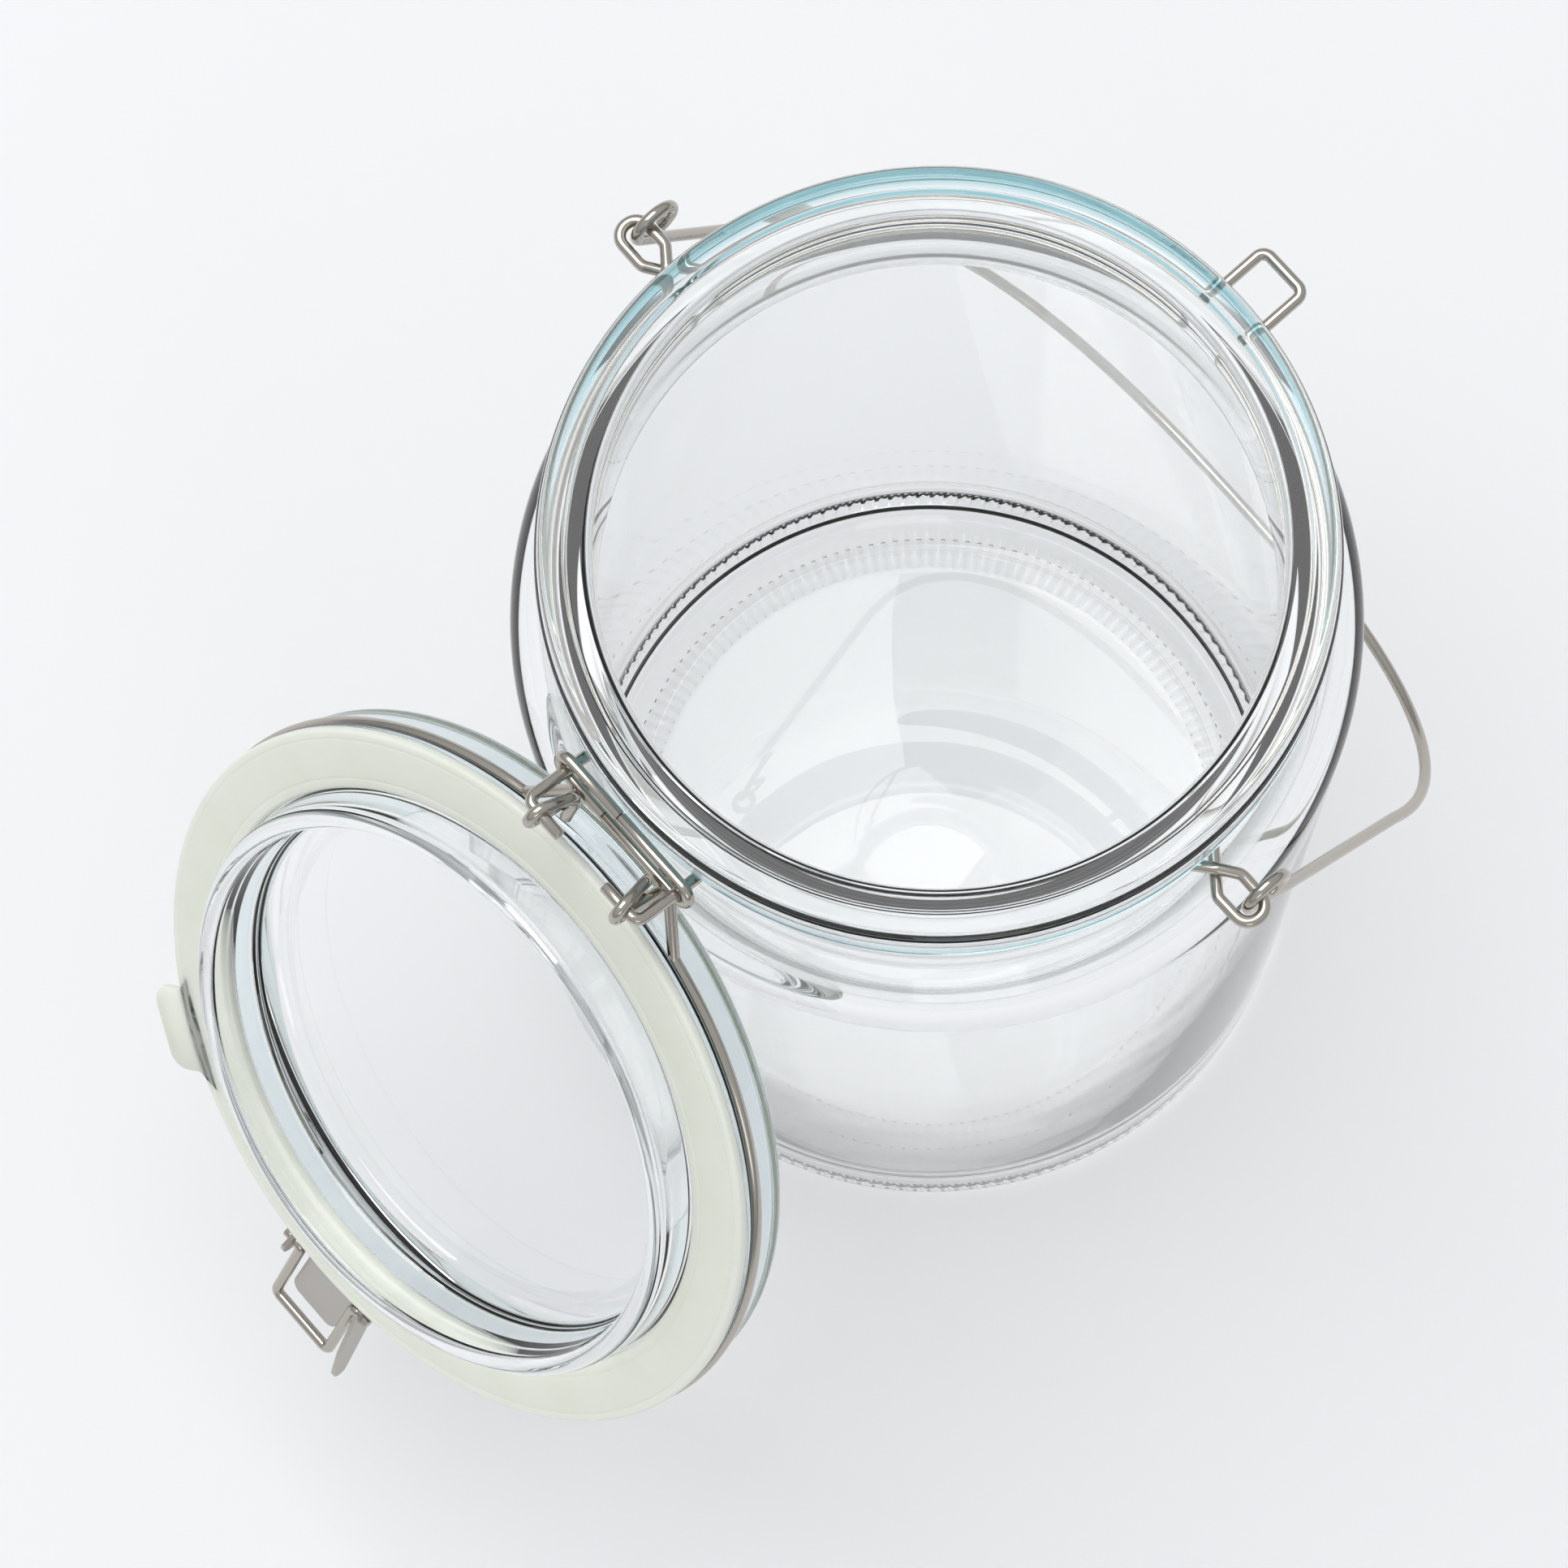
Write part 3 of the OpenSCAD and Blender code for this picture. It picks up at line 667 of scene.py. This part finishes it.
class CANISTER_OT_neck_wire(bpy.types.Operator):
    """Bends one wire into the hinge pins, the neck hoop, both side eyes and the catch"""
    bl_idname = "canister.neck_wire"
    bl_label = "Neck Wire"

    def execute(self, context):
        g, w = context.scene.canister_glass, context.scene.canister_wire
        lv = levels(g, w)
        r, z = lv.neck_wire_r, lv.neck_wire
        bend = 1.5 * MM
        pin = Vector((w.arm_x - w.pin_l, HINGE.y, HINGE.z))
        arm_foot = foot(w.arm_x, r, z)
        half = w.eye_half
        root = on_circle(r, math.asin((half + 1 * MM) / r), z)
        tip_x = g.rim_r + w.eye_out - w.wire_r
        over = w.wire_r * 1.03
        # Each side eye crosses over itself at its root, one strand on top of the other
        eye = [(root, bend), (Vector((r + 4.3 * MM, 0, z + over)), 3 * MM),
               (Vector((r + 7.5 * MM, -half, z + 0.5 * over)), 2 * MM),
               (Vector((tip_x, -half, z)), half), (Vector((tip_x, half, z)), half),
               (Vector((r + 7.5 * MM, half, z - 0.5 * over)), 2 * MM),
               (Vector((r + 4.3 * MM, 0, z - over)), 3 * MM), (flip(root, 1), bend)]
        catch_foot = flip(foot(w.catch_w / 2, r, z), 1)
        catch_y = -g.rim_r - w.catch_out
        half_wire = [(pin, 0.0), (Vector((w.arm_x, HINGE.y, HINGE.z)), bend), (arm_foot, bend)]
        half_wire += round_neck(r, z, angle_of(arm_foot), angle_of(root)) + eye
        half_wire += round_neck(r, z, -angle_of(root), angle_of(catch_foot))
        half_wire += [(catch_foot, bend), (Vector((w.catch_w / 2, catch_y, z + 0.8 * MM)), bend)]
        other_half = [(flip(place, 0), radius) for place, radius in reversed(half_wire)]
        bm = bmesh.new()
        sweep(bm, bent(half_wire + other_half), w.wire_r)
        finish_piece(bm, "neck_wire_piece", "neck_wire", "jar", wire_material(), sharp=50)
        return {"FINISHED"}


class CANISTER_OT_hinge_ring(bpy.types.Operator):
    """Bends the long ring that holds the two hinge arms together, in two butted halves"""
    bl_idname = "canister.hinge_ring"
    bl_label = "Hinge Ring"

    def execute(self, context):
        g, w = context.scene.canister_glass, context.scene.canister_wire
        lv = levels(g, w)
        arm_foot = foot(w.arm_x, lv.neck_wire_r, lv.neck_wire)
        slope = math.atan2(HINGE.z - arm_foot.z, HINGE.y - arm_foot.y)
        ring_y = g.rim_r + 1.75 * MM
        ring_z = lv.neck_wire + (ring_y - arm_foot.y) * math.tan(slope)
        place = (Matrix.Translation((0, ring_y, ring_z))
                 @ Matrix.Rotation(math.radians(90) + slope, 4, "X"))
        out, side, joint = w.arm_x + lv.loop_r, lv.loop_r, 0.06 * MM
        bm = bmesh.new()
        # The two halves meet off centre, at a different place on each side
        upper, under = 1.5 * MM, 4 * MM
        for s in (1, -1):
            stations = [(Vector((upper + s * joint, side, 0)), 0),
                        (Vector((s * out, side, 0)), side), (Vector((s * out, -side, 0)), side),
                        (Vector((under + s * joint, -side, 0)), 0)]
            sweep(bm, bent(stations), w.wire_r)
        finish_piece(bm, "hinge_ring_piece", "hinge_ring", "jar", wire_material(), place, sharp=50)
        return {"FINISHED"}


class CANISTER_OT_lid_wire(bpy.types.Operator):
    """Bends one wire into both hinge eyes, the lid hoop and the lever's pivot"""
    bl_idname = "canister.lid_wire"
    bl_label = "Lid Wire"

    def execute(self, context):
        g, w, latch = (context.scene.canister_glass, context.scene.canister_wire,
                       context.scene.canister_latch)
        lv = levels(g, w)
        r, z = lv.lid_wire_r, lv.lid_wire
        leg_x = w.arm_x - 2 * w.wire_r - 0.8 * MM
        near, far = HINGE.y - lv.loop_r, HINGE.y + lv.loop_r
        low, high = HINGE.z - lv.loop_r, HINGE.z + w.eye_l + lv.loop_r
        back_foot = foot(w.foot_x, r, z)
        # The eye's cut end lies beside its own leg
        beside = leg_x - 2 * w.wire_r
        eye = [(Vector((beside, near - 1.2 * MM, high - 0.6 * MM)), 0.0),
               (Vector((beside + 0.3 * MM, far, high)), lv.loop_r),
               (Vector((leg_x, far, low)), lv.loop_r), (Vector((leg_x, near, low)), lv.loop_r),
               (Vector((leg_x, near, z)), 1.6 * MM), (back_foot, 1.4 * MM)]
        front_foot = flip(back_foot, 1)
        pivot = Vector((latch.barrel_l / 2 + 2.1 * MM, -g.rim_r - latch.pivot_out,
                        g.height + latch.pivot_up))
        half_wire = eye + round_neck(r, z, angle_of(back_foot), angle_of(front_foot))
        half_wire += [(front_foot, 1.4 * MM), (pivot, 1.5 * MM)]
        other_half = [(flip(place, 0), radius) for place, radius in reversed(half_wire)]
        bm = bmesh.new()
        sweep(bm, bent(half_wire + other_half), w.wire_r)
        finish_piece(bm, "lid_wire_piece", "lid_wire", "lid", wire_material(), OPEN_LID, sharp=50)
        return {"FINISHED"}


class CANISTER_OT_lever(bpy.types.Operator):
    """Builds the stamped lever: rolled barrel, tongue, two ears and a finger tab"""
    bl_idname = "canister.lever"
    bl_label = "Latch Lever"

    def execute(self, context):
        g, w, t = (context.scene.canister_glass, context.scene.canister_wire,
                   context.scene.canister_latch)
        inner = w.wire_r + 0.1 * MM
        outer = inner + t.sheet
        ear_x = t.bail_x + w.wire_r + 0.45 * MM
        ear_r = 2.8 * MM
        bm = bmesh.new()
        # The barrel is rolled from the tongue and stops just short of closing
        rolled = arc2(0, 0, outer, 90, 395, 40) + arc2(0, 0, inner, 395, 90, 40)
        prism(bm, rolled, -t.barrel_l / 2, t.barrel_l / 2)
        self.tongue(bm, t, inner)
        # An ear is the hull of a circle round the pivot and a larger one round the bail's pin
        ear = (arc2(0, 0, outer, 88, 268, 14)
               + arc2(t.bail_pin, -t.bail_drop, ear_r, -95, 72, 16))
        prism(bm, ear, ear_x, ear_x + t.sheet)
        prism(bm, ear, -ear_x - t.sheet, -ear_x)
        flare = (Matrix.Translation((-ear_x, -2 * MM, 0))
                 @ Matrix.Rotation(math.radians(-11), 4, "Z"))
        tab = [(0, 0.6 * MM), (0, -3.4 * MM), (t.finger_l - 9 * MM, -4.8 * MM)]
        tab += arc2(t.finger_l - 3.6 * MM, -3 * MM, 1.6 * MM, -80, 60, 8) + [(5 * MM, 1 * MM)]
        prism(bm, tab, -t.sheet, 0, flare)
        finish_piece(bm, "lever_piece", "latch_lever", "lever",
                     get_material(stamped_stainless_sheet, "Stamped stainless sheet"),
                     at_pivot(g, t), sharp=35, bevel=0.12 * MM)
        return {"FINISHED"}

    def tongue(self, bm, t, inner):
        """A flat tongue, level with the top of the barrel, with rounded corners."""
        half = t.tongue_w / 2
        stations = [(Vector((-half, 0, 0)), 0.0), (Vector((-half, -t.tongue_l, 0)), 2 * MM),
                    (Vector((half, -t.tongue_l, 0)), 2 * MM), (Vector((half, 0, 0)), 0.0)]
        plan = bent(stations)
        faces = [[bm.verts.new(p + UP * (inner + up)) for p in plan] for up in (0, t.sheet)]
        bm.faces.new(faces[0])
        bm.faces.new(reversed(faces[1]))
        for i in range(len(plan)):
            j = (i + 1) % len(plan)
            bm.faces.new((faces[0][i], faces[1][i], faces[1][j], faces[0][j]))


class CANISTER_OT_bail(bpy.types.Operator):
    """Bends the bail that pulls the lid down"""
    bl_idname = "canister.bail"
    bl_label = "Latch Bail"

    def execute(self, context):
        g, w, t = (context.scene.canister_glass, context.scene.canister_wire,
                   context.scene.canister_latch)
        end_x = t.bail_x + w.wire_r + 0.45 * MM + t.sheet + 1.6 * MM
        half_wire = [(Vector((end_x, 0, 0)), 0.0), (Vector((t.bail_x, 0, 0)), 1.3 * MM),
                     (Vector((t.bail_x, -t.bail_l, 0)), 1.3 * MM)]
        other_half = [(flip(place, 0), radius) for place, radius in reversed(half_wire)]
        place = (at_pivot(g, t) @ Matrix.Translation((0, -t.bail_pin, -t.bail_drop))
                 @ Matrix.Rotation(-t.bail_rest, 4, "X"))
        bm = bmesh.new()
        sweep(bm, bent(half_wire + other_half), w.wire_r)
        finish_piece(bm, "bail_piece", "latch_bail", "bail", wire_material(), place, sharp=50)
        return {"FINISHED"}


def squared(value, power):
    """A sine or cosine drawn out, so that a bow made with it is squarer than a circle."""
    return math.copysign(abs(value) ** power, value)


class CANISTER_OT_handle(bpy.types.Operator):
    """Bends the carrying handle, a long bow with an open eye at each end"""
    bl_idname = "canister.handle"
    bl_label = "Carrying Handle"

    def execute(self, context):
        g, w = context.scene.canister_glass, context.scene.canister_wire
        eye_r, x = w.handle_eye_r, w.handle_x
        reach = g.body_r + w.wire_r + 0.15 * MM + HANDLE_EYE.y
        tilt = (math.asin(reach / math.hypot(w.handle_l, eye_r))
                + math.atan2(eye_r, w.handle_l))
        eye = [(Vector((x, eye_r * math.cos(a), eye_r * math.sin(a))), 0.0)
               for a in (math.radians(degrees) for degrees in range(290, 0, -10))]
        # Each leg leans in a little, and the bow is squarer than half a circle
        leg_x, leg_end, power = x - 3 * MM, -0.56 * w.handle_l, 0.86
        deep = w.handle_l + leg_end
        bow = [(Vector((leg_x * squared(math.cos(a), power), eye_r,
                        leg_end - deep * squared(math.sin(a), power))), 0.0)
               for a in (math.radians(degrees) for degrees in range(0, 181, 2))]
        other_eye = [(flip(place, 0), radius) for place, radius in reversed(eye)]
        path = bent(eye + [(Vector((x, eye_r, 0)), 0.0)] + bow
                    + [(Vector((-x, eye_r, 0)), 0.0)] + other_eye)
        place = Matrix.Translation(HANDLE_EYE) @ Matrix.Rotation(-tilt, 4, "X")
        bm = bmesh.new()
        sweep(bm, path, w.wire_r)
        finish_piece(bm, "handle_piece", "carry_handle", "handle", wire_material(), place, sharp=50)
        return {"FINISHED"}


class CANISTER_OT_stage(bpy.types.Operator):
    """Sets the pale floor, the soft lights and the camera"""
    bl_idname = "canister.stage"
    bl_label = "Stage"

    def execute(self, context):
        scene = context.scene
        self.floor(scene)
        self.sky(scene)
        self.softbox(scene, "Overhead softbox", Vector((0.55, 0.1, 1.75)), 1.3, 15.5)
        self.softbox(scene, "Side softbox", Vector((-1.3, 0.9, 0.9)), 0.6, 1.5)
        self.camera(scene)
        scene.view_settings.view_transform = "Standard"
        # A jar, a lid and their inner faces are many layers of glass
        layers = 32
        scene.cycles.max_bounces = layers
        scene.cycles.transmission_bounces = layers
        scene.cycles.transparent_max_bounces = layers
        return {"FINISHED"}

    def floor(self, scene):
        bm = bmesh.new()
        bmesh.ops.create_circle(bm, cap_ends=True, radius=2.5, segments=96)
        mesh = bpy.data.meshes.new("floor")
        bm.to_mesh(mesh)
        bm.free()
        mesh.materials.append(matt_floor(scene.canister_finish))
        floor = bpy.data.objects.new("floor", mesh)
        # A hair below the jar, so that the two surfaces don't share a plane
        floor.location.z = -0.1 * MM
        scene.collection.objects.link(floor)

    def sky(self, scene):
        """Soft light from all round, a little darker near the horizon so that glass edges show."""
        world = bpy.data.worlds.new("Studio")
        scene.world = world
        world.use_nodes = True
        tree = world.node_tree
        tree.nodes.clear()
        place = add(tree, "ShaderNodeTexCoord")
        parts = add(tree, "ShaderNodeSeparateXYZ", {}, {0: place.outputs["Generated"]})
        ramp = add(tree, "ShaderNodeValToRGB", {}, {"Fac": parts.outputs["Z"]})
        ramp.color_ramp.elements[0].position = 0.0
        ramp.color_ramp.elements[0].color = (0.58, 0.585, 0.59, 1)
        ramp.color_ramp.elements[1].position = 0.45
        ramp.color_ramp.elements[1].color = (0.96, 0.98, 1.0, 1)
        glow = add(tree, "ShaderNodeBackground", {"Strength": 0.66},
                   {"Color": ramp.outputs["Color"]})
        add(tree, "ShaderNodeOutputWorld", {}, {"Surface": glow.outputs[0]})

    def softbox(self, scene, name, place, size, power):
        lamp = bpy.data.lights.new(name, "AREA")
        lamp.shape, lamp.size, lamp.energy = "SQUARE", size, power
        box = bpy.data.objects.new(name, lamp)
        box.location = place
        box.rotation_mode = "QUATERNION"
        box.rotation_quaternion = (Vector((0, 0, 0.1)) - place).to_track_quat("-Z", "Y")
        scene.collection.objects.link(box)

    def camera(self, scene):
        """Looks steeply down from the hinge side; all angles are in degrees."""
        azimuth, elevation, roll = (math.radians(a) for a in (-127.635, 76.185, 3.536))
        aim, distance = Vector((5.43, 27.30, 100.0)) * MM, 1049.05 * MM
        back = Vector((math.sin(azimuth) * math.cos(elevation),
                       -math.cos(azimuth) * math.cos(elevation), math.sin(elevation)))
        lens = bpy.data.cameras.new("Camera")
        lens.sensor_width, lens.lens = 36.0, 150.0
        lens.clip_start, lens.clip_end = 0.05, 20.0
        camera = bpy.data.objects.new("Camera", lens)
        camera.rotation_mode = "QUATERNION"
        camera.location = aim + back * distance
        upright = (-back).to_track_quat("-Z", "Y")
        camera.rotation_quaternion = upright @ Matrix.Rotation(-roll, 4, "Z").to_quaternion()
        scene.collection.objects.link(camera)
        scene.camera = camera


class CANISTER_PT_panel(bpy.types.Panel):
    """Lists the canister's sizes and the operators that build it"""
    bl_label = "Lidded Glass Canister"
    bl_idname = "CANISTER_PT_panel"
    bl_space_type = "VIEW_3D"
    bl_region_type = "UI"
    bl_category = "Canister"

    def draw(self, context):
        for name in GROUPS:
            box = self.layout.box()
            group = getattr(context.scene, name)
            for prop in group.__annotations__:
                box.prop(group, prop)
        for operator in OPERATORS:
            self.layout.operator(operator.bl_idname)


GROUPS = {"canister_glass": CanisterGlass, "canister_wire": CanisterWire,
          "canister_latch": CanisterLatch, "canister_finish": CanisterFinish}
OPERATORS = (CANISTER_OT_jar, CANISTER_OT_lid, CANISTER_OT_gasket, CANISTER_OT_neck_wire,
             CANISTER_OT_hinge_ring, CANISTER_OT_lid_wire, CANISTER_OT_lever, CANISTER_OT_bail,
             CANISTER_OT_handle, CANISTER_OT_stage)


def register():
    for cls in (*GROUPS.values(), *OPERATORS, CANISTER_PT_panel):
        bpy.utils.register_class(cls)
    for name, group in GROUPS.items():
        setattr(bpy.types.Scene, name, PointerProperty(type=group))


def unregister():
    for name in GROUPS:
        delattr(bpy.types.Scene, name)
    for cls in reversed((*GROUPS.values(), *OPERATORS, CANISTER_PT_panel)):
        bpy.utils.unregister_class(cls)


def main():
    register()
    for operator in OPERATORS:
        group, name = operator.bl_idname.split(".")
        getattr(getattr(bpy.ops, group), name)()


if __name__ == "__main__":
    main()
